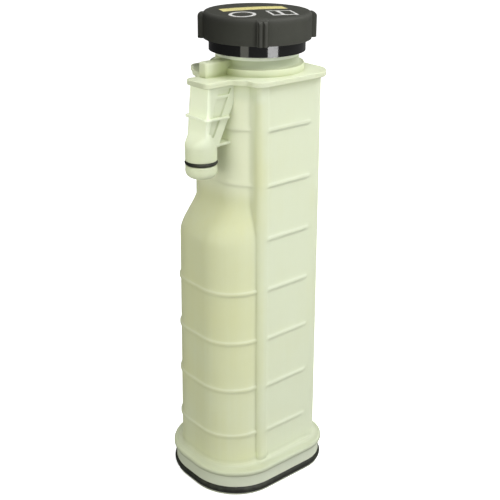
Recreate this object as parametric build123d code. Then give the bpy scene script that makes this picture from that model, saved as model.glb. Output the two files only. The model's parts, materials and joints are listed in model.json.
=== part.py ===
from build123d import *
import math
import os

# Coolant expansion tank: a slim ribbed tank of two welded mouldings with two seal rings,
# and a screw cap with its valves.
# The open collar at the bottom plugs into a lower housing, the arm's spigot into an overflow socket.
# Millimetres. +Z is up, -Y is the arm's side, X runs across the slim width.
# The origin is on the floor, in the middle between the two flat panels.

# Plug-in collar, base flange and the groove of the base seal
collar_half_x = 39.6
collar_front = 48.9
collar_back = 43.7
collar_front_corner = 33.4
collar_back_corner = 23.0
collar_height = 14.5
base_flange_reach = 1.6
base_flange_thickness = 3.6
base_flange_round = 1.6
foot_round = 3.6
foot_sections = 5
base_seal_tube = 5.0
base_seal_lip = 0.8
base_seal_proud = 1.3
seal_clearance = 0.2

# Walls of the tank: sizes at floor level, leaning in towards the top
body_height = 269.6
wall = 2.8
draft = 0.62
panel_half_x = 33.55
panel_front = 19.0
panel_edge_round = 3.6
back_reach = 39.0
back_corner = 14.2
lower_half_x = 31.25
lower_front = 43.9
lower_corner_right = 24.6
lower_corner_left = 21.2
upper_half_x = 29.7
upper_front = 29.2
upper_corner_right = 22.4
upper_corner_left = 17.3
shoulder_drop = 97.1
shoulder_height = 26.5
shoulder_sections = 7
hidden_back_round = 1.0

# Ribs: rings on the rounded front, bars on the two flat panels, a bead along each panel's front edge
rib_first_z = 41.2
rib_pitch = 33.78
rib_width = 3.4
rib_crest = 1.4
rib_proud = 0.9
rib_root = 0.2
bead_width = 8.0
bead_proud = 0.8
panel_rib_back = 25.0
panel_rib_fade = 6.0

# Weld flange between body and cover, with the arm's plate
weld_flange = 1.7
weld_overhang = 3.1
weld_round = 0.6
arm_x = 6.8
arm_reach = 46.2
arm_half_width = 9.8
arm_corner = 3.4
arm_root_round = 2.5

# Duct under the arm: side profile, pockets in its flanks, fins
duct_half_width = 8.4
duct_lip = 3.0
duct_end_lean = 2.9
duct_root = 9.4
duct_foot = 10.8
duct_wall = 2.2
duct_depth = 32.6
passage_half_width = 5.8
passage_mouth = 4.0
pocket_depth = 1.1
pocket_inset_top = 8.0
pocket_inset_bottom = 1.1
pocket_frame = 6.0
pocket_sill = 3.8
rung_drop = 5.8
rung_thickness = 1.7
fin_drop = 18.0
fin_thickness = 1.3
fin_reach = 1.8
tie_drop = 34.4
tie_thickness = 1.6
tie_width = 13.0

# Spigot with its seal ring
spigot_inset = 3.7
spigot_radius = 9.4
spigot_bore = 4.9
spigot_drop = 35.0
spigot_length = 18.6
spigot_nose = 3.4
spigot_nose_height = 5.0
spigot_flare = 4.4
scoop_height = 8.6
scoop_depth = 4.0
scoop_corner = 0.6
scoop_sections = 5
spigot_seal_rise = 9.2
spigot_seal_tube = 2.2
spigot_seal_proud = 0.4

# Cover: neck platform, neck and channel box
neck_y = 5.5
neck_radius = 25.0
neck_height = 7.1
neck_foot_round = 2.8
neck_wall = 2.4
neck_seat_step = 0.6
neck_seat_depth = 3.6
platform_ledge = 3.2
platform_height = 4.1
thread_depth = 18.2
sleeve_length = 16.0
sleeve_step = 3.6
sleeve_wall = 2.4
channel_x = 1.7
channel_half_width = 3.9
channel_inset = 9.2
channel_height = 8.6
channel_wall = 1.4
channel_round = 1.8
channel_edge_round = 1.2

# Screw cap
cap_seat_gap = 0.2
collar_ring_height = 6.9
cap_web = 4.0
cap_rim_wall = 2.8
cap_rim_height = 18.2
thread_room = 2.2
barrel_wall = 3.0
barrel_step_gap = 1.5
nose_room = 0.8
nose_wall = 3.7
nose_rise = 2.6
neck_seal_tube = 2.5
barrel_seal_tube = 2.4
barrel_seal_rise = 9.0
grip_radius = 32.2
grip_side_height = 15.4
grip_crown = 0.9
grip_edge_round = 2.2
grip_wall = 3.0
cap_clearance = 0.3
lug_count = 4
lug_first_angle = -35.0
lug_proud = 3.0
lug_ridge_radius = 1.2
lug_ridge_spacing = 3.0
lug_foot = 0.7
lug_drop = 0.8
lug_top_round = 2.6

# Valves inside the cap's barrel
retainer_flange = 1.4
retainer_height = 3.6
retainer_bore = 9.2
seat_lip_width = 1.3
seat_lip_height = 0.9
fit_clearance = 0.05
plunger_gap = 0.9
plunger_plate = 2.0
plunger_boss_radius = 6.4
plunger_boss_height = 3.0
plunger_seal_thickness = 2.0
plunger_seal_margin = 0.6
stem_radius = 1.5
stem_clearance = 0.5
stem_head_radius = 3.8
stem_head_thickness = 1.4
vacuum_disc_radius = 6.8
vacuum_disc_thickness = 1.6
vacuum_spring_height = 6.0
vacuum_spring_radius = 2.9
vacuum_spring_wire = 0.7
vacuum_spring_turns = 4
pressure_spring_radius = 10.4
pressure_spring_wire = 1.8
pressure_spring_turns = 5
spring_seat_gap = 0.1

# Heights and radii worked out from the sizes above
base_flange_top = collar_height + base_flange_thickness
shoulder_z = body_height - shoulder_drop
weld_z = body_height + weld_flange
cover_top_z = weld_z + weld_flange
duct_floor_z = body_height - duct_depth
spigot_y = arm_reach - spigot_inset
spigot_top_z = body_height - spigot_drop
spigot_end_z = spigot_top_z - spigot_length
spigot_seal_z = spigot_end_z + spigot_seal_rise
platform_radius = neck_radius + platform_ledge
platform_top_z = cover_top_z + platform_height
neck_top_z = platform_top_z + neck_height
neck_bore = neck_radius - neck_wall
neck_seat_bore = neck_bore + neck_seat_step
sleeve_bore = neck_bore - sleeve_step
sleeve_top_z = neck_top_z - thread_depth
sleeve_bottom_z = sleeve_top_z - sleeve_length
channel_reach = arm_reach - channel_inset
collar_radius = grip_radius - grip_wall - cap_clearance
lug_radius = grip_radius + lug_proud
barrel_radius = neck_bore - thread_room
barrel_bore = barrel_radius - barrel_wall
barrel_step_z = sleeve_top_z + barrel_step_gap
barrel_end_z = sleeve_bottom_z + nose_rise
barrel_seal_z = sleeve_bottom_z + barrel_seal_rise
nose_radius = sleeve_bore - nose_room
nose_bore = nose_radius - nose_wall
cap_z = neck_top_z + cap_seat_gap
grip_z = cap_z + collar_ring_height
web_top_z = cap_z + cap_web
rim_top_z = cap_z + cap_rim_height
retainer_top_z = barrel_end_z + retainer_height
seal_face_z = retainer_top_z + seat_lip_height
plunger_z = seal_face_z + plunger_seal_thickness
plunger_top_z = plunger_z + plunger_plate
boss_top_z = plunger_top_z + plunger_boss_height
neck_axis = Pos(0, neck_y, 0)
spigot_axis = Pos(arm_x, -spigot_y, 0)


def lean(z):
    """How far a drafted wall has moved in at height z."""
    return z * math.tan(math.radians(draft))


def rounded_face(half_x, front, back, radii, z):
    """Face at height z from -front to back, its corner radii going round from the front left."""
    front_left, front_right, back_right, back_left = radii
    arcs = [
        CenterArc((front_left - half_x, front_left - front), front_left, 180, 90),
        CenterArc((half_x - front_right, front_right - front), front_right, 270, 90),
        CenterArc((half_x - back_right, back - back_right), back_right, 0, 90),
        CenterArc((back_left - half_x, back - back_left), back_left, 90, 90),
    ]
    sides = [Line(arc @ 1, following @ 0) for arc, following in zip(arcs, arcs[1:] + arcs[:1])]
    return Pos(0, 0, z) * make_face(arcs + sides)


def main_section(z, inset=0.0):
    """The box between the two flat panels, with its round back."""
    shrink = lean(z) + inset
    edge = panel_edge_round - inset
    corner = back_corner - shrink
    return rounded_face(
        panel_half_x - shrink, panel_front - inset, back_reach - shrink, (edge, edge, corner, corner), z
    )


def front_section(z, inset, blend):
    """The rounded front: the lower bulge at blend 0, the set-back upper front at blend 1."""
    shrink = lean(z) + inset

    def mixed(lower, upper):
        return lower + (upper - lower) * blend - shrink

    radii = (
        mixed(lower_corner_left, upper_corner_left),
        mixed(lower_corner_right, upper_corner_right),
        hidden_back_round,
        hidden_back_round,
    )
    half_x = mixed(lower_half_x, upper_half_x)
    return rounded_face(half_x, mixed(lower_front, upper_front), hidden_back_round, radii, z)


def lower_section(z, inset=0.0):
    return front_section(z, inset, 0.0)


def upper_section(z, inset=0.0):
    return front_section(z, inset, 1.0)


def prism(section, bottom, top, inset=0.0):
    return loft([section(bottom, inset), section(top, inset)], ruled=True)


def shoulder(inset):
    """S-shaped step from the lower bulge back to the upper front."""
    sections = []
    for step in range(shoulder_sections):
        share = step / (shoulder_sections - 1)
        blend = share * share * (3 - 2 * share)
        sections.append(front_section(shoulder_z + share * shoulder_height, inset, blend))
    return loft(sections)


def tank_form(bottom, top, inset=0.0):
    """The tank's closed outer form, or its hollow where it is inset by the wall."""
    shoulder_top = shoulder_z + shoulder_height
    form = prism(main_section, bottom, top, inset)
    form += prism(lower_section, bottom, shoulder_z, inset)
    form += shoulder(inset)
    form += prism(upper_section, shoulder_top, top, inset)
    return form


def rib_levels():
    count = int((body_height - rib_first_z - rib_width) // rib_pitch) + 1
    return [rib_first_z + rib_pitch * index for index in range(count)]


def rib(section, z):
    """Ridge round a section, with sloping flanks and a narrow crest."""
    levels = ((-rib_width / 2, rib_root), (-rib_crest / 2, -rib_proud), (rib_crest / 2, -rib_proud))
    levels += ((rib_width / 2, rib_root),)
    return loft([section(z + offset, inset) for offset, inset in levels], ruled=True)


def panel_rib_section(z, inset=0.0):
    reach = panel_half_x - lean(z) - inset
    start = panel_front - bead_width / 2
    radii = (hidden_back_round, hidden_back_round, panel_rib_fade, panel_rib_fade)
    return rounded_face(reach, start, panel_rib_back, radii, z)


def bead_section(z, inset=0.0):
    reach = panel_half_x - lean(z) - inset
    edge = panel_edge_round
    return rounded_face(reach, panel_front, bead_width - panel_front, (edge, edge, edge / 2, edge / 2), z)


def ribs():
    """All ridges on the outside: the beads along the panels and the ribs at each level."""
    ridges = prism(bead_section, base_flange_top, body_height, -bead_proud)
    for z in rib_levels():
        ridges += rib(panel_rib_section, z)
        if z < shoulder_z:
            ridges += rib(lower_section, z)
        elif z > shoulder_z + shoulder_height:
            ridges += rib(upper_section, z)
    return ridges


def collar_face(grow=0.0):
    front, back = collar_front_corner + grow, collar_back_corner + grow
    radii = (front, front, back, back)
    return rounded_face(collar_half_x + grow, collar_front + grow, collar_back + grow, radii, 0)


def foot(section):
    """Hollow round in which a wall spreads to the base flange."""
    sections = []
    for step in range(foot_sections):
        angle = math.pi / 2 * step / (foot_sections - 1)
        z = base_flange_top + foot_round * (1 - math.cos(angle))
        sections.append(section(z, foot_round * (math.sin(angle) - 1)))
    return loft(sections, ruled=True)


def base_collar():
    """Plug-in collar with the seal groove, and the rounded flange over it."""
    collar = extrude(collar_face(), collar_height)
    flange = extrude(collar_face(base_flange_reach), base_flange_thickness)
    levels = flange.edges().group_by(Axis.Z)
    flange = fillet(levels[0] + levels[-1], base_flange_round)
    groove_height = base_seal_tube + 2 * seal_clearance
    groove = collar_face(base_flange_reach) - collar_face(-groove_depth())
    collar -= Pos(0, 0, base_seal_lip) * extrude(groove, groove_height)
    return collar + Pos(0, 0, collar_height) * flange


def groove_depth():
    return base_seal_tube - base_seal_proud + seal_clearance


def collar_hollow():
    """Room inside the collar, one wall in from the seal groove, open at the bottom."""
    return extrude(collar_face(-groove_depth() - wall), collar_height)


def weld_face(z):
    """Outline of the weld flange: the walls with an even overhang, and the arm's plate."""
    arm_length = arm_reach - panel_front
    arm = RectangleRounded(2 * arm_half_width, arm_length, arm_corner)
    outline = main_section(body_height, -weld_overhang) + upper_section(body_height, -weld_overhang)
    outline = Pos(0, 0, -body_height) * outline + Pos(arm_x, arm_length / 2 - arm_reach) * arm
    outline = offset(offset(outline, arm_root_round), -arm_root_round)
    return Pos(0, 0, z) * outline


def weld_plate(z, outer_edges):
    """Half of the weld flange, with its outer edges rounded on the top or bottom side."""
    plate = extrude(weld_face(z), weld_flange)
    return fillet(plate.edges().group_by(Axis.Z)[outer_edges], weld_round)


def side_prism(points, half_width):
    """Solid of a side profile, given as (-y, z) points, standing across the arm."""
    profile = Plane.YZ * make_face(Polyline(*[(-y, z) for y, z in points], close=True))
    return Pos(arm_x, 0, 0) * extrude(profile, half_width, both=True)


def between(top, bottom, z):
    """Value at height z on the slanted line from top (under the flange) to bottom (duct floor)."""
    share = (body_height - z) / (body_height - duct_floor_z)
    return top + (bottom - top) * share


def duct_end(z):
    return between(arm_reach - duct_lip, arm_reach - duct_lip + duct_end_lean, z)


def duct_rear(z):
    return between(upper_front - duct_root, duct_end(duct_floor_z) - duct_foot, z)


def pocket_front(z):
    return duct_end(z) - between(pocket_inset_top, pocket_inset_bottom, z)


def pocket(bottom, top):
    """Slanted field between two rungs, cut into both flanks of the duct."""
    points = [(edge(z) + shift, z) for z, edge, shift in (
        (top, pocket_front, 0), (bottom, pocket_front, 0), (bottom, duct_rear, pocket_frame),
        (top, duct_rear, pocket_frame))]
    floor = duct_half_width - pocket_depth
    return side_prism(points, duct_half_width + pocket_depth) - side_prism(points, floor)


def arm_duct():
    """Tapering duct with framed flanks, its fins and the tie plate to the tank."""
    low = duct_floor_z - duct_wall
    rung_z = body_height - rung_drop
    fin_z = body_height - fin_drop
    duct = side_prism(
        [(duct_end(body_height), body_height), (duct_end(duct_floor_z), duct_floor_z),
         (duct_end(duct_floor_z), low), (duct_rear(duct_floor_z), low),
         (duct_rear(duct_floor_z), duct_floor_z), (duct_rear(body_height), body_height)], duct_half_width)
    duct -= pocket(rung_z + rung_thickness / 2, body_height - rung_thickness)
    duct -= pocket(fin_z + fin_thickness / 2, rung_z - rung_thickness / 2)
    duct -= pocket(duct_floor_z + pocket_sill, fin_z - fin_thickness / 2)
    fin_length = duct_end(fin_z) + fin_reach - duct_rear(fin_z)
    fin = RectangleRounded(2 * (duct_half_width + fin_reach), fin_length, fin_reach)
    fin_y = -duct_rear(fin_z) - fin_length / 2
    duct += Pos(arm_x, fin_y, fin_z - fin_thickness / 2) * extrude(fin, fin_thickness)
    tie_length = spigot_y - panel_front
    tie = Box(tie_width, tie_length, tie_thickness)
    return duct + Pos(arm_x, tie_length / 2 - spigot_y, body_height - tie_drop) * tie


def passage():
    """Way from the cover's channel down to the spigot's bore, clear of the tank's own wall.

    Its front follows the duct's end wall and spreads with the scoop to the bore's mouth.
    """
    front_wall = upper_front + duct_wall
    low = spigot_top_z - duct_wall
    scoop_top = spigot_top_z + scoop_height
    mouth = spigot_y + passage_mouth
    slope = (duct_rear(duct_floor_z) - duct_rear(body_height)) / duct_depth
    bend_z = body_height - (front_wall - duct_rear(body_height) - duct_wall) / slope
    return side_prism(
        [(duct_end(body_height) - duct_wall, weld_z), (duct_end(scoop_top) - duct_wall, scoop_top),
         (mouth, duct_floor_z), (mouth, low), (spigot_y - duct_wall, low),
         (duct_rear(duct_floor_z) + duct_wall, duct_floor_z), (front_wall, bend_z), (front_wall, weld_z)],
        passage_half_width)


def spigot():
    """Round spigot with a rounded nose, a seal groove and a flare up to the duct."""
    root = spigot_radius + spigot_seal_proud - spigot_seal_tube - seal_clearance
    half_groove = spigot_seal_tube / 2 + seal_clearance
    nose = spigot_radius - spigot_nose
    nose_top_z = spigot_end_z + spigot_nose_height
    arc_middle = 1 - math.sqrt(0.5)
    flare_z = spigot_top_z + spigot_flare
    outline = [
        Line((0, spigot_end_z), (nose, spigot_end_z)),
        ThreePointArc(
            (nose, spigot_end_z),
            (spigot_radius - spigot_nose * arc_middle, spigot_end_z + spigot_nose_height * arc_middle),
            (spigot_radius, nose_top_z),
        ),
        Polyline(
            (spigot_radius, nose_top_z), (spigot_radius, spigot_seal_z - half_groove),
            (root, spigot_seal_z - half_groove), (root, spigot_seal_z + half_groove),
            (spigot_radius, spigot_seal_z + half_groove), (spigot_radius, spigot_top_z),
        ),
        Line((spigot_radius, spigot_top_z), (spigot_radius - spigot_flare, flare_z)),
        Polyline((spigot_radius - spigot_flare, flare_z), (0, flare_z), (0, spigot_end_z)),
    ]
    return spigot_axis * revolve(Plane.XZ * make_face(outline), Axis.Z)


def scoop():
    """S-shaped spread from the duct's end wall down to the round spigot."""
    top = spigot_top_z + scoop_height
    sections = []
    for step in range(scoop_sections):
        share = step / (scoop_sections - 1)
        blend = share * share * (3 - 2 * share)

        def mixed(low, high):
            return low + (high - low) * blend

        corner = mixed(spigot_radius - scoop_corner, scoop_corner)
        front = mixed(spigot_y + spigot_radius, duct_end(top))
        back = mixed(spigot_radius - spigot_y, scoop_depth - duct_end(top))
        half_x = mixed(spigot_radius, duct_half_width)
        sections.append(rounded_face(half_x, front, back, (corner,) * 4, spigot_top_z + share * scoop_height))
    return Pos(arm_x, 0, 0) * loft(sections)


def tank_outside():
    """Outer form of the drafted walls with their ridges, from the base flange to the weld rim."""
    return tank_form(base_flange_top, body_height) + ribs() + foot(main_section) + foot(lower_section)


def tank_hollow():
    """The room inside, from the open collar up to the cover."""
    return tank_form(collar_height, weld_z, wall) + collar_hollow()


def tank_body():
    return tank_outside() - tank_hollow()


def plug_collar():
    return base_collar() - tank_hollow()


def weld_rim():
    """The body's half of the weld flange, cut through where the arm's duct comes up."""
    return weld_plate(body_height, 0) - tank_hollow() - passage()


def overflow_arm():
    """Duct and spigot, cut to the walls that they stand against."""
    bore = extrude(Circle(spigot_bore), duct_floor_z - spigot_end_z)
    arm = arm_duct() + spigot() + scoop() - tank_outside() - tank_hollow()
    return arm - passage() - spigot_axis * Pos(0, 0, spigot_end_z) * bore


def cylinder(radius, bottom, top):
    return neck_axis * Pos(0, 0, bottom) * extrude(Circle(radius), top - bottom)


def channel_block(inset, bottom, top):
    """Channel box over the arm's left half, from near its end to the neck's axis."""
    length = channel_reach - inset + neck_y
    block = RectangleRounded(2 * (channel_half_width - inset), length, channel_round)
    return Pos(channel_x, length / 2 - channel_reach + inset, bottom) * extrude(block, top - bottom)


def neck_foot():
    """Hollow round between the platform and the neck."""
    z = platform_top_z
    reach = neck_radius + neck_foot_round
    outline = [
        Polyline((neck_radius, z + neck_foot_round), (neck_radius, z), (reach, z)),
        CenterArc((reach, z + neck_foot_round), neck_foot_round, 180, 90),
    ]
    return neck_axis * revolve(Plane.XZ * make_face(outline), Axis.Z)


def tank_cover():
    channel_top = cover_top_z + channel_height
    cover = weld_plate(weld_z, -1)
    cover += cylinder(platform_radius, weld_z, platform_top_z)
    box = channel_block(0, weld_z, channel_top)
    cover += fillet(box.edges().group_by(Axis.Z)[-1], channel_edge_round)
    cover += cylinder(neck_radius, sleeve_top_z - sleeve_wall, neck_top_z) + neck_foot()
    cover += cylinder(sleeve_bore + sleeve_wall, sleeve_bottom_z, sleeve_top_z)
    channel = channel_block(channel_wall, weld_z, channel_top - channel_wall)
    channel -= cylinder(neck_radius - channel_wall, weld_z, cover_top_z)
    cover -= channel
    cover -= cylinder(neck_bore, sleeve_top_z, neck_top_z)
    cover -= cylinder(neck_seat_bore, neck_top_z - neck_seat_depth, neck_top_z)
    return cover - cylinder(sleeve_bore, sleeve_bottom_z, sleeve_top_z)


def ring(path_radius, tube, z):
    return Pos(0, 0, z) * Torus(path_radius, tube / 2)


def base_seal_ring():
    z = base_seal_lip + seal_clearance + base_seal_tube / 2
    inward = base_seal_proud - base_seal_tube / 2
    path = collar_face(inward).face().outer_wire()
    section = Plane(origin=path @ 0, z_dir=path % 0) * Circle(base_seal_tube / 2)
    return Pos(0, 0, z) * sweep(section, path=path)


def spigot_seal_ring():
    path_radius = spigot_radius + spigot_seal_proud - spigot_seal_tube / 2
    return spigot_axis * ring(path_radius, spigot_seal_tube, spigot_seal_z)


def neck_seal_path():
    return neck_seat_bore - cap_clearance - neck_seal_tube / 2


def barrel_seal_path():
    return sleeve_bore - cap_clearance - barrel_seal_tube / 2


def neck_seal_z():
    return neck_top_z - neck_seat_depth / 2


def cap_neck_seal():
    return neck_axis * ring(neck_seal_path(), neck_seal_tube, neck_seal_z())


def cap_barrel_seal():
    return neck_axis * ring(barrel_seal_path(), barrel_seal_tube, barrel_seal_z)


def seal_groove(path_radius, tube, z, outer):
    half = tube / 2 + cap_clearance
    return cylinder(outer, z - half, z + half) - cylinder(path_radius - half, z - half, z + half)


def cap_body():
    """Gloss collar, closed web and rim of the cap, with the hollow screw barrel under the web."""
    cap = cylinder(collar_radius, cap_z, rim_top_z)
    cap -= cylinder(collar_radius - cap_rim_wall, web_top_z, rim_top_z)
    cap += cylinder(barrel_radius, barrel_step_z, cap_z)
    cap += cylinder(nose_radius, barrel_end_z, barrel_step_z)
    cap -= cylinder(barrel_bore, barrel_step_z, cap_z)
    cap -= cylinder(nose_bore, barrel_end_z, barrel_step_z)
    cap -= seal_groove(neck_seal_path(), neck_seal_tube, neck_seal_z(), neck_seat_bore)
    return cap - seal_groove(barrel_seal_path(), barrel_seal_tube, barrel_seal_z, sleeve_bore)


def grip_shell():
    """Turned form of the grip: side wall, rounded edge and slightly crowned top."""
    side_top = grip_z + grip_side_height
    bore = collar_radius + cap_clearance
    roof = rim_top_z + cap_seat_gap
    edge = grip_radius - grip_edge_round
    edge_z = side_top - grip_edge_round
    dome = (edge * edge + grip_crown * grip_crown) / (2 * grip_crown)
    sweep_angle = math.degrees(math.asin(edge / dome))
    outline = [
        Polyline((0, roof), (bore, roof), (bore, grip_z), (grip_radius, grip_z), (grip_radius, edge_z)),
        CenterArc((edge, edge_z), grip_edge_round, 0, 90),
        CenterArc((0, side_top + grip_crown - dome), dome, 90 - sweep_angle, sweep_angle),
        Line((0, side_top + grip_crown), (0, roof)),
    ]
    return revolve(Plane.XZ * make_face(outline), Axis.Z)


def lug_face():
    """Plan of a grip lug along +X: a foot rooted in the side wall, with two rounded ridges."""
    ridge_x = lug_radius - lug_ridge_radius
    root_x = grip_radius - grip_wall / 2
    foot_width = lug_ridge_spacing + 2 * (lug_ridge_radius + lug_foot)
    face = Pos((root_x + ridge_x) / 2, 0) * Rectangle(ridge_x - root_x, foot_width)
    for side in (-1, 1):
        face += Pos(ridge_x, side * lug_ridge_spacing / 2) * Circle(lug_ridge_radius)
    return face


def lugs():
    """The lugs round the grip, their upper ends rounded off towards the top."""
    height = grip_side_height - lug_drop
    envelope = extrude(Circle(lug_radius), height)
    envelope = fillet(envelope.edges().group_by(Axis.Z)[-1], lug_top_round)
    angles = [lug_first_angle + index * 360 / lug_count for index in range(lug_count)]
    faces = [Rot(0, 0, angle) * lug_face() for angle in angles]
    return [Pos(0, 0, grip_z) * (extrude(face, height) & envelope) for face in faces]


def cap_grip():
    grip = grip_shell()
    for lug in lugs():
        grip += lug
    return neck_axis * grip


def valve_retainer():
    """Ring in the barrel's end, hooked under it, with the raised valve seat."""
    ring_radius = nose_bore - fit_clearance
    retainer = cylinder(ring_radius, barrel_end_z, retainer_top_z)
    retainer += cylinder(nose_bore + nose_wall / 2, barrel_end_z - retainer_flange, barrel_end_z)
    retainer += cylinder(retainer_bore + seat_lip_width, retainer_top_z, seal_face_z)
    return retainer - cylinder(retainer_bore, barrel_end_z - retainer_flange, seal_face_z)


def plunger_radius():
    return nose_bore - plunger_gap


def stem_hole():
    return stem_radius + stem_clearance


def pressure_plunger():
    plunger = cylinder(plunger_radius(), plunger_z, plunger_top_z)
    plunger += cylinder(plunger_boss_radius, plunger_top_z, boss_top_z)
    return plunger - cylinder(stem_hole(), plunger_z, boss_top_z)


def plunger_seal():
    seal = cylinder(plunger_radius() - plunger_seal_margin, seal_face_z, plunger_z)
    return seal - cylinder(stem_hole(), seal_face_z, plunger_z)


def vacuum_valve():
    """Mushroom valve: disc under the plunger's seal, stem through the plunger, head over its spring."""
    head_z = boss_top_z + vacuum_spring_height
    valve = cylinder(vacuum_disc_radius, seal_face_z - vacuum_disc_thickness, seal_face_z)
    valve += cylinder(stem_radius, seal_face_z, head_z)
    return valve + cylinder(stem_head_radius, head_z, head_z + stem_head_thickness)


def coil(radius, wire, turns, bottom, top):
    """Coil spring between two seats, clear of both by the seat gap."""
    start = bottom + wire / 2 + spring_seat_gap
    height = top - bottom - wire - 2 * spring_seat_gap
    path = Helix(height / turns, height, radius)
    section = Plane(origin=path @ 0, z_dir=path % 0) * Circle(wire / 2)
    return neck_axis * Pos(0, 0, start) * sweep(section, path=path)


def pressure_spring():
    return coil(pressure_spring_radius, pressure_spring_wire, pressure_spring_turns, plunger_top_z, cap_z)


def vacuum_spring():
    top = boss_top_z + vacuum_spring_height
    return coil(vacuum_spring_radius, vacuum_spring_wire, vacuum_spring_turns, boss_top_z, top)


pieces = {
    "tank_body": tank_body,
    "plug_collar": plug_collar,
    "weld_rim": weld_rim,
    "overflow_arm": overflow_arm,
    "tank_cover": tank_cover,
    "base_seal_ring": base_seal_ring,
    "spigot_seal_ring": spigot_seal_ring,
    "cap_grip": cap_grip,
    "cap_body": cap_body,
    "cap_neck_seal": cap_neck_seal,
    "cap_barrel_seal": cap_barrel_seal,
    "valve_retainer": valve_retainer,
    "pressure_plunger": pressure_plunger,
    "plunger_seal": plunger_seal,
    "pressure_spring": pressure_spring,
    "vacuum_valve": vacuum_valve,
    "vacuum_spring": vacuum_spring,
}

os.makedirs("parts", exist_ok=True)
for name, make in pieces.items():
    shape = make()
    export_step(shape, f"parts/{name}.step")
    print(name, "volume", round(shape.volume, 1))
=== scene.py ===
# %% [markdown]
# # A coolant expansion tank
# The tank is a slim, milky plastic moulding with ribs, a plug-in collar with a black ring at its foot,
# an overflow arm with a small ringed spigot, and a dark screw cap. All solids come from one CAD frame in
# metres, so this lesson adds only what the solids lack: finishes, stand-in copies of the springs, a screw
# thread, a weld line and a set. We load the frame first.

# %% load the CAD frame
import json
import math

import bmesh
import bpy
from mathutils import Matrix, Vector

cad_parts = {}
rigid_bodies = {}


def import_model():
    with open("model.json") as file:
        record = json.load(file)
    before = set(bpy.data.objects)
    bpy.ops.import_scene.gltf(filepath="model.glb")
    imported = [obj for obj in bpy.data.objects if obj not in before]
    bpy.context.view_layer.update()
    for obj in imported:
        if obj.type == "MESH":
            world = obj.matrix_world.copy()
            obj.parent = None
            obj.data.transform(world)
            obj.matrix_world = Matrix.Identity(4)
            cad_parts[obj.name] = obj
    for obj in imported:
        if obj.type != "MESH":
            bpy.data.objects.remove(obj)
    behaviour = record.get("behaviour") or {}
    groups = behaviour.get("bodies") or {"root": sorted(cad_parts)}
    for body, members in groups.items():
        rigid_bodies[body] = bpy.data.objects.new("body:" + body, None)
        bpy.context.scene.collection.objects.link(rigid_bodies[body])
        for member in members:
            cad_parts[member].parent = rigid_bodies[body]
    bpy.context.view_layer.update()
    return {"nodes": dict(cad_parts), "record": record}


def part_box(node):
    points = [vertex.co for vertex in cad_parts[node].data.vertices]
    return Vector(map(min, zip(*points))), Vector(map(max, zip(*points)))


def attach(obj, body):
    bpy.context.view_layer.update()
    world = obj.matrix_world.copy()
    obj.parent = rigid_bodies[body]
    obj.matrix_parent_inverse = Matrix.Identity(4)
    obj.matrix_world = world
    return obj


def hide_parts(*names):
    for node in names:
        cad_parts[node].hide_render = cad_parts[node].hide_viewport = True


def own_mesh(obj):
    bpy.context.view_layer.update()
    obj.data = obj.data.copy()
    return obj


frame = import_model()
nodes = frame["nodes"]
behaviour = frame["record"]["behaviour"]
MM = 1000.0

# %% [markdown]
# ## Sums on sockets
# A procedural finish is mostly arithmetic on positions. Blender writes arithmetic as Math nodes, which
# are hard to read once there are thirty of them. So one small class holds a socket and overloads the
# Python operators: `1 - mask * 0.5` then adds the Math nodes by itself. Every other node comes from
# `add`, which takes the node's type, its settings, and the values or links of its sockets.


# %% a socket that can be used in Python sums
class Wire:
    """One output socket of a node tree."""

    def __init__(self, tree, socket=None):
        self.tree = tree
        self.socket = socket

    def add(self, kind, settings=None, sockets=None, out=0):
        node = self.tree.nodes.new("ShaderNode" + kind)
        for name, value in (settings or {}).items():
            setattr(node, name, value)
        for name, value in (sockets or {}).items():
            if isinstance(value, Wire):
                self.tree.links.new(value.socket, node.inputs[name])
            else:
                node.inputs[name].default_value = value
        return Wire(self.tree, node.outputs[out])

    def math(self, operation, *values):
        return self.add("Math", {"operation": operation}, dict(enumerate(values)))

    def __add__(self, other):
        return self.math("ADD", self, other)

    __radd__ = __add__

    def __sub__(self, other):
        return self.math("SUBTRACT", self, other)

    def __rsub__(self, other):
        return self.math("SUBTRACT", other, self)

    def __mul__(self, other):
        return self.math("MULTIPLY", self, other)

    __rmul__ = __mul__

    def __truediv__(self, other):
        return self.math("DIVIDE", self, other)

    def __rtruediv__(self, other):
        return self.math("DIVIDE", other, self)

    def __pow__(self, other):
        return self.math("POWER", self, other)

    def __rpow__(self, other):
        return self.math("POWER", other, self)

    def __abs__(self):
        return self.math("ABSOLUTE", self)

    def least(self, other):
        return self.math("MINIMUM", self, other)

    def most(self, other):
        return self.math("MAXIMUM", self, other)

    def rise(self, low, high):
        """0 below low, 1 above high, smooth between: also falling, where low is the greater."""
        settings = {"interpolation_type": "SMOOTHSTEP"}
        return self.add("MapRange", settings, {"Value": self, "From Min": low, "From Max": high})

    def tint(self, ground, colour):
        """The colour laid over the ground where this wire is 1."""
        sockets = {0: self, 6: ground, 7: colour}
        return self.add("Mix", {"data_type": "RGBA"}, sockets, out=2)


print("sums and methods:", [name for name in vars(Wire) if callable(vars(Wire)[name])])

# %% [markdown]
# ## A finish and the places it is laid
# Each finish is one material with a Principled shader. Numbers that are the same all over go straight
# onto the shader's own sockets, because an export keeps them there. Only colour, roughness and bump may
# vary. Positions are object coordinates: every CAD object sits at the origin, so they are simply metres
# in the tank's own frame, and they travel with the piece when it moves.


# %% start a material
def rgb(red, green, blue):
    """A screen colour from 0 to 255 as the linear colour that shaders use."""
    shares = [channel / 255 for channel in (red, green, blue)]
    return [s / 12.92 if s <= 0.04045 else ((s + 0.055) / 1.055) ** 2.4 for s in shares] + [1.0]


def begin(name, **constants):
    """A new material, its shader node, and the position in metres."""
    material = bpy.data.materials.new(name)
    material.use_nodes = True
    tree = material.node_tree
    shader = tree.nodes["Principled BSDF"]
    for socket, value in constants.items():
        shader.inputs[socket.replace("_", " ")].default_value = value
    spot = Wire(tree).add("TexCoord", out=3)
    return material, shader, spot


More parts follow.
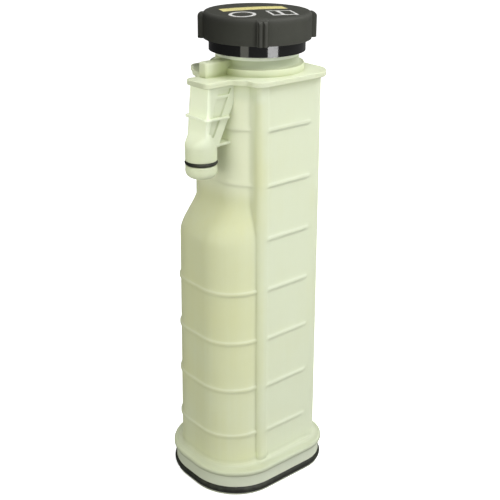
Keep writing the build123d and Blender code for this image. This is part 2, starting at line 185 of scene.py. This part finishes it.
def feed(shader, name, wire):
    wire.tree.links.new(wire.socket, shader.inputs[name])


print("cream of the panel in linear light:", [round(v, 3) for v in rgb(220, 228, 205)])

# %% [markdown]
# Positions are worked on in three ways: split into millimetres, stretched so that noise on them becomes
# streaks, or fed into noise. A bump turns such a pattern into a height on the surface.


# %% positions, noise and bump
def parts(vector):
    """The three numbers of a vector."""
    split = vector.add("SeparateXYZ", sockets={"Vector": vector})
    return [Wire(vector.tree, output) for output in split.socket.node.outputs]


def axes(spot):
    """The three coordinates of a position, in millimetres."""
    return [part * MM for part in parts(spot)]


def stretched(vector, x, y, z):
    """The vector with each axis multiplied."""
    return vector.add("VectorMath", {"operation": "MULTIPLY"}, {0: vector, 1: (x, y, z)})


def noise(spot, per_metre, detail=2.0, roughness=0.5):
    """Cloudy noise, about 0.3 to 0.7, with features of about 1 / per_metre metres."""
    sockets = {"Vector": spot, "Scale": per_metre, "Detail": detail, "Roughness": roughness}
    return spot.add("TexNoise", sockets=sockets)


def bump(shader, height, metres, normal=None):
    """Bump of a height in metres, on the surface's own normal or on another one."""
    sockets = {"Height": height, "Distance": metres}
    if normal:
        sockets["Normal"] = normal
    feed(shader, "Normal", height.add("Bump", sockets=sockets))


print("helpers ready:", ", ".join(helper.__name__ for helper in (parts, axes, stretched, noise, bump)))

# %% [markdown]
# ## Milky tank plastic
# The tank is natural polypropylene: whitish and translucent, so light goes some millimetres into it and
# softens every edge. Subsurface scattering does a part of that, and a Bevel node rounds the normals at the
# walls' edges. A rib that lets light through also shades far less than a solid one, so the normals on the
# walls are levelled, and the ribs' sides are painted a little paler, a painted highlight that also lifts
# their shade. All milky mouldings share this ground: mottle of melt that cooled unevenly, faint upright flow
# streaks, the mould's fine spark texture as a small bump, and a mask of the hollows, which an Ambient
# Occlusion node finds, for painted shade there. A pair of numbers says, in millimetres, where a mask begins
# and where it is full.

# %% ground of the milky plastics
WALL_FOOT, WALL_TOP, WALL_FADE = 24.0, 264.0, 4.0
PANEL_SIDE, PANEL_FRONT, PANEL_BACK = (24.0, 27.0), (-14.0, -11.5), (30.0, 27.0)
ROUNDS_FRONT, SHOULDER_FOOT = (-18.0, -20.0), (152.0, 147.0)
LEVELLING = 0.42
HOLLOW_REACH = 0.010


def milky_ground(name, scatter, edge):
    """A milky plastic: material, shader and position, then masks of its mottle, of its hollows for painted
    shade and of its ribs' sides for painted light.
    """
    material, shader, spot = begin(
        name, Subsurface_Weight=scatter, Subsurface_Radius=(1.0, 1.0, 0.95), Subsurface_Scale=0.004,
        IOR=1.49, Specular_IOR_Level=0.35)
    cloud = noise(spot, 26.0, 3.0)
    streak = noise(stretched(spot, 260.0, 260.0, 9.0), 1.0, 3.0)
    grain = noise(spot, 1500.0, 2.0)
    feed(shader, "Roughness", 0.36 + cloud * 0.12 + grain * 0.08)

    x, y, z = axes(spot)
    above_foot = z.rise(WALL_FOOT, WALL_FOOT + WALL_FADE)
    on_walls = above_foot * z.rise(WALL_TOP, WALL_TOP - WALL_FADE)
    across_panel = y.rise(*PANEL_FRONT) * y.rise(*PANEL_BACK)
    on_panel = on_walls * abs(x).rise(*PANEL_SIDE) * across_panel
    on_rounds = on_walls * y.rise(*ROUNDS_FRONT) * z.rise(*SHOULDER_FOOT)

    plain = spot.add("NewGeometry", out=1)
    rounded = stretched(spot.add("Bevel", {"samples": 8}, {"Radius": edge}), 1.0, 1.0, LEVELLING)
    level = spot.add("VectorMath", {"operation": "NORMALIZE"}, {0: rounded})
    normal = spot.add("Mix", {"data_type": "VECTOR"}, {0: on_walls, 4: plain, 5: level}, out=1)
    bump(shader, grain * 0.5 + streak * 0.35 + cloud * 0.8, 0.00012, normal)

    mottle = (cloud - 0.5) * 0.7 + (streak - 0.5) * 0.35
    # Painted shade: an Ambient Occlusion node finds the hollows, and their colour is later darkened to olive.
    open_air = spot.add("AmbientOcclusion", {"samples": 8}, {"Distance": HOLLOW_REACH}, out=1)
    hollow_shade = open_air.rise(0.85, 0.2) * above_foot * (1.0 - on_panel * 0.7)
    # Painted light: the ribs' sloping sides are painted paler, a painted highlight that also lifts the shade
    # under them.
    painted_rib_light = abs(parts(plain)[2]).rise(0.05, 0.45) * (on_panel * 0.18 + on_rounds * 0.22)
    return material, shader, spot, mottle, hollow_shade, painted_rib_light


milky, shader, spot, mottle, hollow_shade, painted_rib_light = milky_ground("milky_plastic", 0.12, 0.0036)
print("ground of", milky.name, "has", len(milky.node_tree.nodes), "nodes")

# %% [markdown]
# The colour of the tank goes on in layers, from cream to the last shade. The front is yellower and darker,
# partly for its thicker wall and partly as painted shade on the side turned from the main light. The flange
# is darker and greyer and the collar paler. Hollows are painted olive as painted shade, and the wall by the
# arm gets a painted pale patch, painted light for what comes through the arm. The neck is darker below its
# pale edge, partly because the black barrel of the cap shows through it and partly as the cap's painted
# shadow, and the pale edge is a painted glow. The cover is painted in shade where the channel box meets the
# neck. `CHANNEL_WAY` is the level direction from the neck to that box, and the other pairs are again where a
# tone begins and where it is full.

# %% colour of the tank's walls
NECK_Y = 5.5
NECK_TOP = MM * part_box("tank_cover")[1].z
THICK_SHADED_FRONT, LOW_WALL = (-6.0, -26.0), (130.0, 30.0)
BELOW_RIM, COVER = (WALL_TOP, 258.0), (262.0, 268.0)
FLANGE, COLLAR = (WALL_FOOT, 17.0), (15.5, 13.5)
ARM_HEIGHT, ARM_SIDE, ARM_FRONT = (196.0, 210.0), (30.0, 24.0), (-13.0, -18.0)

x, y, z = axes(spot)
# Partly painted shade: the front is yellower and darker, partly for its thicker wall and partly as painted
# shade of the side turned from the main light.
thick_and_front_shade = y.rise(*THICK_SHADED_FRONT) * z.rise(*BELOW_RIM) * (0.55 - z.rise(*LOW_WALL) * 0.12)
thick_and_front_shade = thick_and_front_shade + z.rise(*COVER) * 0.15
colour = (0.12 + mottle + thick_and_front_shade).rise(0.0, 1.0).tint(rgb(213, 220, 193), rgb(210, 213, 169))
# Darker and greyer on the flange.
colour = (z.rise(*FLANGE) * 0.8).tint(colour, rgb(166, 172, 150))
colour = (z.rise(*COLLAR) * 0.8).tint(colour, rgb(213, 219, 198))
painted_light_by_arm = z.rise(*ARM_HEIGHT) * z.rise(*BELOW_RIM) * abs(x).rise(*ARM_SIDE)
# Painted shade: the hollows are darkened to olive, less on the wall beside the arm.
colour = (hollow_shade * (0.7 - painted_light_by_arm * 0.45)).tint(colour, rgb(158, 168, 108))
# Painted light: a pale patch on the wall beside the arm, for light that comes through the arm.
colour = (painted_light_by_arm * y.rise(*ARM_FRONT) * 0.5).tint(colour, rgb(236, 241, 220))
# Painted highlight on the ribs' sides.
colour = painted_rib_light.tint(colour, rgb(242, 247, 232))

NECK_WALL, NECK_FOOT, NECK_EDGE = (27.5, 25.6), (275.0, 279.0), (NECK_TOP - 2.8, NECK_TOP - 2.2)
CHANNEL_WAY, CHANNEL_SIDE = (-0.64, -0.77), (4.0, 20.0)
CHANNEL_REACH, CHANNEL_FOOT = (42.0, 31.0), (270.0, 274.0)
from_neck = (x * x + (y - NECK_Y) * (y - NECK_Y)) ** 0.5
neck = from_neck.rise(*NECK_WALL) * z.rise(*NECK_FOOT)
to_channel = x * CHANNEL_WAY[0] + (y - NECK_Y) * CHANNEL_WAY[1]
painted_channel_shade = to_channel.rise(*CHANNEL_SIDE) * from_neck.rise(*CHANNEL_REACH) * z.rise(*CHANNEL_FOOT)
# Partly painted shade: the neck is darker for the black barrel showing through it and for the cap's painted
# shadow.
colour = (neck * 0.65).tint(colour, rgb(160, 173, 140))
# Painted shade on the cover where the channel box meets the neck.
colour = (painted_channel_shade * 0.78).tint(colour, rgb(154, 164, 112))
# Painted light: a pale glow on the neck's thin upper edge.
neck_edge_glow = neck * z.rise(*NECK_EDGE)
feed(shader, "Base Color", (neck_edge_glow * 0.7).tint(colour, rgb(236, 242, 228)))
print(milky.name, len(milky.node_tree.nodes), "nodes, neck up to", round(NECK_TOP, 2), "mm")

# %% [markdown]
# The overflow arm is a thinner moulding with sharper edges, so its normals are rounded less. Its duct is
# painted a little paler and its end wall the whitest place of the whole tank, a painted glow of light that
# comes through the thin arm, while the spigot below is as creamy as the walls.

# %% milky arm
arm_milky, shader, spot, mottle, hollow_shade, _ = milky_ground("milky_arm", 0.2, 0.0016)
_, y, z = axes(spot)
DUCT, END_WALL, END_WALL_FOOT = (228.0, 240.0), (-40.5, -44.0), (233.0, 244.0)
colour = (0.3 + mottle).rise(0.0, 1.0).tint(rgb(203, 210, 182), rgb(193, 199, 161))
# Painted light: the duct above the spigot is a little paler, for light through its thin walls.
colour = (z.rise(*DUCT) * 0.9).tint(colour, rgb(204, 211, 185))
# Painted shade: the arm's hollows are darkened to olive.
colour = (hollow_shade * 0.4).tint(colour, rgb(160, 170, 118))
# Painted light: the end wall is painted near white, a glow of light through the thin arm.
end_wall_glow = y.rise(*END_WALL) * z.rise(*END_WALL_FOOT)
feed(shader, "Base Color", (end_wall_glow * 0.9).tint(colour, rgb(234, 242, 216)))
print(arm_milky.name, len(arm_milky.node_tree.nodes), "nodes")

# %% [markdown]
# ## Cap finishes
# The grip is dark grey plastic with a fine eroded grain that makes it matte. Its top carries plain print:
# a bare pale yellow bar, a white ring and two joined white frames. All are drawn as distances to simple
# shapes in the cap's own plane, because a distance gives sharp, even lines at any size.

# %% bare print on the grip's top
grip, shader, spot = begin("grip_plastic", Specular_IOR_Level=0.15)
x, y, z = axes(spot)
GRIP_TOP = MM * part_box("cap_grip")[1].z
PRINT_ANGLE = math.radians(68.0)
along = x * math.cos(PRINT_ANGLE) + (y - NECK_Y) * math.sin(PRINT_ANGLE)
across = x * math.sin(PRINT_ANGLE) - (y - NECK_Y) * math.cos(PRINT_ANGLE)


def outside_bar(centre, size):
    """Distance in millimetres out of a bar on the cap's top, below zero inside it."""
    return (abs(along - centre[0]) - size[0] / 2).most(abs(across - centre[1]) - size[1] / 2)


def inked(distance):
    return distance.rise(0.12, -0.12)


def outlined(distance, width=1.5):
    return inked(abs(distance + width / 2) - width / 2)


BAR_PLACE, BAR_SIZE = (-1.8, -2.7), (39.5, 10.6)
RING_PLACE, RING_RADIUS, RING_HALF = (-14.0, 15.0), 6.9, 1.0
FRAME_PLACES, FRAME_SIZES = ((5.4, 15.6), (13.0, 15.6)), ((7.2, 14.4), (9.2, 14.4))
bar = inked(outside_bar(BAR_PLACE, BAR_SIZE))
ring_along, ring_across = along - RING_PLACE[0], across - RING_PLACE[1]
from_ring = (ring_along * ring_along + ring_across * ring_across) ** 0.5
ring = inked(abs(from_ring - RING_RADIUS) - RING_HALF)
one_frame, other_frame = [
    outlined(outside_bar(place, size)) for place, size in zip(FRAME_PLACES, FRAME_SIZES)]
frames = one_frame.most(other_frame)
print("print at", round(GRIP_TOP, 2), "mm:", len(grip.node_tree.nodes), "nodes")

# %% [markdown]
# Hands rub the edge of the top and the tips of the lugs a little lighter and smoother. Fine specks break the
# ink, as on any print that has been gripped for years.

# %% matte, rubbed grip
GRIP_RADIUS = 32.2
radius = (x * x + (y - NECK_Y) * (y - NECK_Y)) ** 0.5
grain = noise(spot, 2600.0, 2.0)
blotch = noise(spot, 70.0, 3.0)
top_edge = radius.rise(GRIP_RADIUS - 3.4, GRIP_RADIUS - 1.2) * z.rise(GRIP_TOP - 5.0, GRIP_TOP - 2.0)
lug_tips = radius.rise(GRIP_RADIUS + 2.0, GRIP_RADIUS + 2.9)
rubbed = (top_edge + lug_tips).least(1.0) * (0.4 + blotch * 0.6)
colour = (blotch * 0.8).tint(rgb(67, 68, 61), rgb(80, 81, 74))
colour = (rubbed * 0.5).tint(colour, rgb(86, 86, 82))

ink = z.rise(GRIP_TOP - 1.6, GRIP_TOP - 1.3) * noise(spot, 900.0, 4.0, 0.65).rise(0.30, 0.42)
colour = (bar * ink).tint(colour, rgb(240, 230, 158))
feed(shader, "Base Color", (ring.most(frames) * ink).tint(colour, rgb(232, 232, 228)))
feed(shader, "Roughness", 0.50 + grain * 0.14 - rubbed * 0.10)
bump(shader, grain + blotch * 0.2, 0.00006)
print(grip.name, len(grip.node_tree.nodes), "nodes")

# %% [markdown]
# The collar below the grip is polished black plastic that mirrors the soft lights as two upright bars.
# It is not perfect: a slow waviness bends the bars slightly, and fine swirls dull it here and there.

# %% gloss collar and barrel
gloss, shader, spot = begin("gloss_black", Specular_IOR_Level=0.36)
wave = noise(spot, 45.0, 1.0)
swirl = noise(stretched(spot, 180.0, 180.0, 2400.0), 1.0, 2.0)
feed(shader, "Base Color", wave.tint(rgb(14, 14, 14), rgb(24, 24, 23)))
feed(shader, "Roughness", 0.07 + swirl.rise(0.45, 0.8) * 0.10)
bump(shader, wave + swirl * 0.02, 0.00008)
print(gloss.name, len(gloss.node_tree.nodes), "nodes")

# %% [markdown]
# ## Seals
# Rubber rings are black with a faint bloom, the greyish dust that rubber sweats out, and fine moulding
# pits.

# %% rubber
rubber, shader, spot = begin("seal_rubber", Specular_IOR_Level=0.4)
bloom = noise(spot, 120.0, 4.0, 0.6)
feed(shader, "Base Color", bloom.rise(0.42, 0.75).tint(rgb(36, 38, 30), rgb(66, 68, 57)))
feed(shader, "Roughness", 0.38 + bloom * 0.25)
bump(shader, noise(spot, 1900.0, 2.0), 0.00005)
print(rubber.name, len(rubber.node_tree.nodes), "nodes")

# %% [markdown]
# ## Valves
# The valve parts hide inside the cap, but anyone may take the model apart: grey plastic for the plunger,
# drawn steel wire for the springs, turned brass with fine rings for the vacuum valve.

# %% plunger plastic, spring wire and turned brass
valve_grey, shader, spot = begin("valve_plastic", Specular_IOR_Level=0.4)
feed(shader, "Base Color", noise(spot, 160.0, 3.0).tint(rgb(128, 128, 126), rgb(150, 150, 147)))
feed(shader, "Roughness", 0.42 + noise(spot, 1800.0) * 0.15)
bump(shader, noise(spot, 2200.0), 0.00004)

wire_steel, shader, spot = begin("spring_steel", Metallic=1.0)
drawn = noise(spot, 900.0, 3.0)
feed(shader, "Base Color", drawn.tint(rgb(150, 151, 153), rgb(196, 197, 199)))
feed(shader, "Roughness", 0.22 + drawn * 0.2)
bump(shader, drawn, 0.00002)

brass, shader, spot = begin("valve_brass", Metallic=1.0)
turned = noise(stretched(spot, 30.0, 30.0, 6000.0), 1.0, 2.0)
feed(shader, "Base Color", turned.tint(rgb(196, 160, 92), rgb(224, 192, 122)))
feed(shader, "Roughness", 0.20 + turned * 0.22)
bump(shader, turned, 0.00002)
print("ready:", valve_grey.name, wire_steel.name, brass.name)

# %% [markdown]
# ## Dress the CAD nodes
# The CAD shapes are right as they are, so each keeps its mesh and only gets a finish. One table says
# which, and the loop fails loudly if a node is forgotten.

# %% lay the finishes on the nodes
finish_of = {
    "tank_body": milky, "plug_collar": milky, "weld_rim": milky, "tank_cover": milky,
    "overflow_arm": arm_milky, "base_seal_ring": rubber, "spigot_seal_ring": rubber,
    "cap_neck_seal": rubber, "cap_barrel_seal": rubber, "plunger_seal": rubber,
    "cap_grip": grip, "cap_body": gloss, "valve_retainer": gloss, "pressure_plunger": valve_grey,
    "pressure_spring": wire_steel, "vacuum_spring": wire_steel, "vacuum_valve": brass,
}
for name, node in nodes.items():
    node.data.materials.clear()
    node.data.materials.append(finish_of[name])
print("dressed", len(nodes), "nodes,", sum(len(node.data.polygons) for node in nodes.values()), "faces")

# %% [markdown] ## Spring copies A valve that opens shortens its spring, and a stiff spring would be run
# through by the plunger. The CAD mesh stays as it is, so a copy of it stands in for each spring node and
# rides on the joint's parent body; here the copy does not shorten.

# %% a copy of each spring on its joint's parent body
for joint in behaviour["joints"]:
    for spring in joint.get("deforming_nodes", []):
        node = nodes[spring["node"]]
        coil = bpy.data.objects.new(node.name + "_coil", node.data.copy())
        bpy.context.scene.collection.objects.link(coil)
        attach(coil, joint["parent"])
        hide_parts(node.name)
        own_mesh(coil)

# %% [markdown]
# ## The screw thread
# The cap turns on a coarse thread of 4 mm pitch: a ridge winds round the barrel and another winds down
# inside the neck, half a pitch away. A ridge is a small trapezium carried along a helix; it sinks into
# its wall and fades out at both ends. Turning by an angle while rising by pitch times angle maps a helix
# onto itself, so the two ridges stay clear of each other through the whole unscrewing.


# %% helical ridges
def mesh_piece(name, points, faces, material, body, slot):
    """A smooth mesh that rides on a body, with all its faces turned outwards."""
    mesh = bpy.data.meshes.new(name)
    mesh.from_pydata(points, [], faces)
    shape = bmesh.new()
    shape.from_mesh(mesh)
    bmesh.ops.recalc_face_normals(shape, faces=shape.faces)
    shape.to_mesh(mesh)
    shape.free()
    for face in mesh.polygons:
        face.use_smooth = True
    piece = bpy.data.objects.new(name, mesh)
    bpy.context.scene.collection.objects.link(piece)
    mesh.materials.append(material)
    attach(piece, body)
    return piece


PITCH = 4.0
STEPS_A_TURN = 72
ROOT_HALF, CREST_HALF = 0.95, 0.4


def helix_ridge(root, crest, start_z, turns, lead):
    """Ridge from radius root to crest, in mm: a trapezium of four points at each step along the helix."""
    steps = int(turns * STEPS_A_TURN)
    points, faces = [], []
    for step in range(steps + 1):
        angle = lead + 2 * math.pi * step / STEPS_A_TURN
        middle = start_z + PITCH * step / STEPS_A_TURN
        fade = min(1.0, 6.0 * min(step, steps - step) / STEPS_A_TURN)
        tip = root + (crest - root) * fade
        for reach, offset in ((root, -ROOT_HALF), (tip, -CREST_HALF), (tip, CREST_HALF), (root, ROOT_HALF)):
            place = (reach * math.cos(angle), NECK_Y + reach * math.sin(angle), middle + offset)
            points.append([v / MM for v in place])
    for step in range(steps):
        for side in range(4):
            near, far = 4 * step + side, 4 * step + (side + 1) % 4
            faces.append((near, far, far + 4, near + 4))
    faces += [(3, 2, 1, 0), tuple(4 * steps + k for k in range(4))]
    return points, faces


outer_ridge = helix_ridge(root=20.2, crest=21.8, start_z=270.2, turns=2.25, lead=0.0)
inner_ridge = helix_ridge(root=22.8, crest=21.2, start_z=268.6, turns=2.6, lead=math.radians(36.0))
barrel_thread = mesh_piece("barrel_thread", *outer_ridge, gloss, "cap", "cap_plastic")
neck_thread = mesh_piece("neck_thread", *inner_ridge, milky, "tank", "tank_plastic")
print("thread ridges:", len(barrel_thread.data.polygons), "and", len(neck_thread.data.polygons), "faces")

# %% [markdown]
# ## Weld line
# Where the cover is hot-plate welded to the body, a thin bead of melt squeezes out all round the flange.
# We do not need to draw that outline again: it is the outer loop of edges round the top face of the weld
# rim, so we walk those edges in the CAD mesh and lay a thin tube on them. An edge that only one of the
# face's triangles uses lies on a border, and the widest border is the outer one.


# %% outline of the weld
def outer_loop(node, height):
    """The widest closed loop of edges round the flat face of a node at a height, in metres."""
    mesh = node.data
    key = {v.index: tuple(round(c, 6) for c in v.co) for v in mesh.vertices}
    uses = {}
    for face in mesh.polygons:
        if all(abs(mesh.vertices[v].co.z - height) < 1e-6 for v in face.vertices):
            corners = [key[v] for v in face.vertices]
            for a, b in zip(corners, corners[1:] + corners[:1]):
                uses.setdefault(frozenset((a, b)), []).append((a, b))
    onward = {pairs[0][0]: pairs[0][1] for pairs in uses.values() if len(pairs) == 1}
    loops = []
    while onward:
        start, following = onward.popitem()
        loop = [start]
        while following in onward:
            loop.append(following)
            following = onward.pop(following)
        loops.append(loop)
    return max(loops, key=lambda loop: max(p[0] for p in loop) - min(p[0] for p in loop))


weld_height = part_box("weld_rim")[1].z
seam = outer_loop(nodes["weld_rim"], weld_height)
print("weld of", len(seam), "points at", round(MM * weld_height, 2), "mm")

# %% [markdown]
# Both the bead and the small rounded lip on the neck's upper rim are tubes along a level path, so one
# helper makes them. At each point it lays a ring of eight corners across the path.

# %% tubes along the weld and round the neck
RING = 8
UP = Vector((0, 0, 1))


def tube_piece(name, path, thickness, material, body, slot):
    """A closed round tube along a level path of points, with its radius as thickness, in metres."""
    points, faces = [], []
    count = len(path)
    for index, place in enumerate(path):
        ahead = Vector(path[(index + 1) % count]) - Vector(path[index - 1])
        side = ahead.cross(UP).normalized()
        for turn in range(RING):
            angle = 2 * math.pi * turn / RING
            points.append(Vector(place) + thickness * (side * math.cos(angle) + UP * math.sin(angle)))
    for index in range(count):
        a, b = index * RING, (index + 1) % count * RING
        for turn in range(RING):
            after = (turn + 1) % RING
            faces.append((a + turn, b + turn, b + after, a + after))
    return mesh_piece(name, points, faces, material, body, slot)


BEAD_THICKNESS, LIP_THICKNESS = 0.00012, 0.0006
LIP_RADIUS, LIP_DROP, LIP_POINTS = 25.1, 0.7, 120
lip_path = []
for step in range(LIP_POINTS):
    angle = 2 * math.pi * step / LIP_POINTS
    place = (LIP_RADIUS * math.cos(angle), NECK_Y + LIP_RADIUS * math.sin(angle), NECK_TOP - LIP_DROP)
    lip_path.append([v / MM for v in place])
weld_bead = tube_piece("weld_bead", seam, BEAD_THICKNESS, milky, "tank", "tank_plastic")
neck_lip = tube_piece("neck_lip", lip_path, LIP_THICKNESS, milky, "tank", "tank_plastic")
print("tubes:", len(weld_bead.data.polygons), "and", len(neck_lip.data.polygons), "faces")

# %% [markdown]
# ## Floor and backdrop
# The set is a wide pale floor with a round backdrop. Both shine a little, so they stay plain white behind the
# tank from every side. They send no light or mirror image back to it: bounced light from below would
# flatten the shading.

# %% floor and backdrop
paper, shader, spot = begin("floor_paper", Roughness=0.9, Specular_IOR_Level=0.1, Emission_Strength=0.85)
shader.inputs["Emission Color"].default_value = (1.0, 1.0, 1.0, 1.0)
feed(shader, "Base Color", noise(spot, 3.0).tint(rgb(250, 250, 249), rgb(253, 253, 252)))


def paper_sheet(name, points, faces):
    """A sheet of the set that the tank neither mirrors nor takes bounced light from."""
    mesh = bpy.data.meshes.new(name)
    mesh.from_pydata(points, [], faces)
    mesh.materials.append(paper)
    sheet = bpy.data.objects.new(name, mesh)
    bpy.context.scene.collection.objects.link(sheet)
    sheet.visible_diffuse = False
    sheet.visible_glossy = False
    return sheet


STUDIO, CORNERS = 6.0, 48
bearings = [2 * math.pi * k / CORNERS for k in range(CORNERS)]
circle = [(STUDIO * math.cos(angle), STUDIO * math.sin(angle)) for angle in bearings]
paper_sheet("studio_floor", [(x, y, 0.0) for x, y in circle], [tuple(range(CORNERS))])
wall = [(k, (k + 1) % CORNERS, CORNERS + (k + 1) % CORNERS, CORNERS + k) for k in range(CORNERS)]
backdrop = paper_sheet("studio_backdrop", [(x, y, z) for z in (0.0, STUDIO) for x, y in circle], wall)
backdrop.visible_shadow = False
print("floor", 2 * STUDIO, "m across")

# %% [markdown]
# The sky fills the shadows. It is brighter on the right, where the main light comes from, because the shaded
# front of the tank should stay visibly darker than its side. The Standard view keeps the colours as they are.

# %% sky
sky = bpy.data.worlds.new("studio_sky")
bpy.context.scene.world = sky
sky.use_nodes = True
SKY = 0.32
rightward = parts(Wire(sky.node_tree).add("TexCoord", out=0))[0]
feed(sky.node_tree.nodes["Background"], "Color", SKY * (0.90 + rightward * 0.60))
bpy.context.scene.view_settings.view_transform = "Standard"
print("sky of", SKY)

# %% [markdown]
# ## Soft boxes
# Two low strips left and right of the camera make the two upright bars in the gloss collar. The main soft
# box hangs high on the right, so the cap throws its shadow over the neck and the arm's root. One box lights
# the panel from the side and one the cap from above. Milky plastic lets much of their light through, so
# light linking has only the dark pieces throw the boxes' shadows.

# %% soft boxes
AIM = Vector((0.0, NECK_Y / MM, 0.2))


def soft_box(name, bearing, distance, height, size, brightness):
    """A rectangular light at a bearing round the neck's axis, facing it: a brightness of 1 is white paper."""
    lamp = bpy.data.lights.new(name, "AREA")
    lamp.shape = "RECTANGLE"
    lamp.size, lamp.size_y = size
    lamp.energy = brightness * size[0] * size[1] * math.pi
    item = bpy.data.objects.new(name, lamp)
    bpy.context.scene.collection.objects.link(item)
    angle = math.radians(bearing)
    item.location = (distance * math.cos(angle), AIM.y + distance * math.sin(angle), height)
    item.rotation_euler = (AIM - item.location).to_track_quat("-Z", "Y").to_euler()
    item.visible_camera = False
    return item


def pieces_in(name, wanted):
    """A collection of the mesh objects whose finish is wanted, for light linking."""
    group = bpy.data.collections.new(name)
    for item in bpy.context.scene.objects:
        if item.type == "MESH" and wanted(item.data.materials[0]):
            group.objects.link(item)
    return group


dark_pieces = pieces_in("dark_pieces", lambda finish: finish not in (milky, arm_milky))
soft_box("right_strip", bearing=-4.0, distance=0.45, height=0.207, size=(0.19, 0.045), brightness=14.2)
left_strip = soft_box(
    "left_strip", bearing=-69.0, distance=0.45, height=0.207, size=(0.15, 0.045), brightness=3.0)
left_strip.data.color = (1.0, 1.0, 0.85)
for box in (
        soft_box("right_box", bearing=-10.0, distance=0.80, height=1.60, size=(0.80, 0.80), brightness=4.0),
        soft_box("side_box", bearing=48.0, distance=0.90, height=1.03, size=(0.60, 0.60), brightness=3.4),
        soft_box("top_box", bearing=20.0, distance=0.35, height=1.40, size=(0.50, 0.50), brightness=4.2)):
    box.light_linking.blocker_collection = dark_pieces

# %% [markdown]
# ## Glow of the milky walls
# Light that enters the real tank through its bright side wanders inside it and leaves through the shaded
# sides, warmer than before. Rays through a whole hollow tank are slow and noisy, so wide soft lights in
# front, on the left and at the back stand in for that glow, with one more for the thin arm. They are linked
# to the milky pieces only: the dark cap must not notice them.


# %% glow of the milky walls
def glow_on(name, finishes, bearing, brightness):
    """A soft warm light that only the pieces with the given finishes receive."""
    glow = soft_box(name, bearing, distance=0.80, height=0.25, size=(0.80, 0.80), brightness=brightness)
    glow.data.color = (1.0, 1.0, 0.88)
    lit = pieces_in(name + "_on", lambda finish: finish in finishes)
    glow.light_linking.receiver_collection = lit
    glow.light_linking.blocker_collection = dark_pieces


glow_on("front_glow", (milky, arm_milky), bearing=-92.0, brightness=1.6)
glow_on("left_glow", (milky, arm_milky), bearing=178.0, brightness=1.1)
glow_on("back_glow", (milky, arm_milky), bearing=90.0, brightness=1.1)
glow_on("arm_glow", (arm_milky,), bearing=-93.0, brightness=0.8)

# %% [markdown]
# ## Camera
# The camera stands where the photograph was taken: to the right front, a little above the cap, looking
# down by 23 degrees with a slight roll. It sees 500 by 500 pixels with a focal length of 938 pixels, which on
# a 36 mm sensor is 67.5 mm.

# %% camera
SENSOR, FOCAL_PIXELS, FRAME_PIXELS = 36.0, 938.0, 500.0
CAMERA_PLACE = (0.4268, -0.3596, 0.3900)
TURN, LOOK_DOWN, ROLL = 49.80, 22.78, 0.39
lens = bpy.data.cameras.new("camera")
lens.sensor_width = SENSOR
lens.lens = FOCAL_PIXELS / FRAME_PIXELS * SENSOR
camera = bpy.data.objects.new("camera", lens)
bpy.context.scene.collection.objects.link(camera)
turn = Matrix.Rotation(math.radians(TURN), 4, "Z")
tilt = Matrix.Rotation(math.radians(90.0 - LOOK_DOWN), 4, "X")
roll = Matrix.Rotation(math.radians(ROLL), 4, "Z")
camera.matrix_world = Matrix.Translation(CAMERA_PLACE) @ turn @ tilt @ roll
bpy.context.scene.camera = camera
print("camera at", CAMERA_PLACE, "with a lens of", round(lens.lens, 1), "mm")

# %% [markdown]
